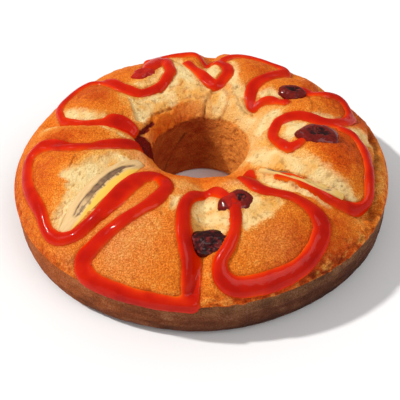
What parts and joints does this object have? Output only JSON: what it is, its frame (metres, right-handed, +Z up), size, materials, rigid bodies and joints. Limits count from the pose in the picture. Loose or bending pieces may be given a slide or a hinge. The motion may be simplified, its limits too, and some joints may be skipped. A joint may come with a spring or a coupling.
{
  "type": "ring cake",
  "caption": "Plain round ring cake with a domed, cracked golden crust, a hole through the middle, poured red glaze, banana slices and dark cherries.",
  "frame": {"origin": "centre of the cake's flat bottom, on the axis of the hole", "axes": "+Z up along the axis of the hole, -Y towards the front of the cake as pictured, +X to its right"},
  "size_m": [0.25, 0.25, 0.0693],
  "materials": {
    "crust": "matte",
    "banana": "satin",
    "cherry": "gloss",
    "dark_cherry": "gloss"
  },
  "bodies": {
    "root": {"cake": "crust", "banana_left": "banana", "banana_right": "banana", "cherry_right": "cherry", "cherry_back": "cherry", "cherry_front": "cherry", "cherry_back_left": "cherry", "cherry_dark": "dark_cherry"}
  },
  "joints": []
}
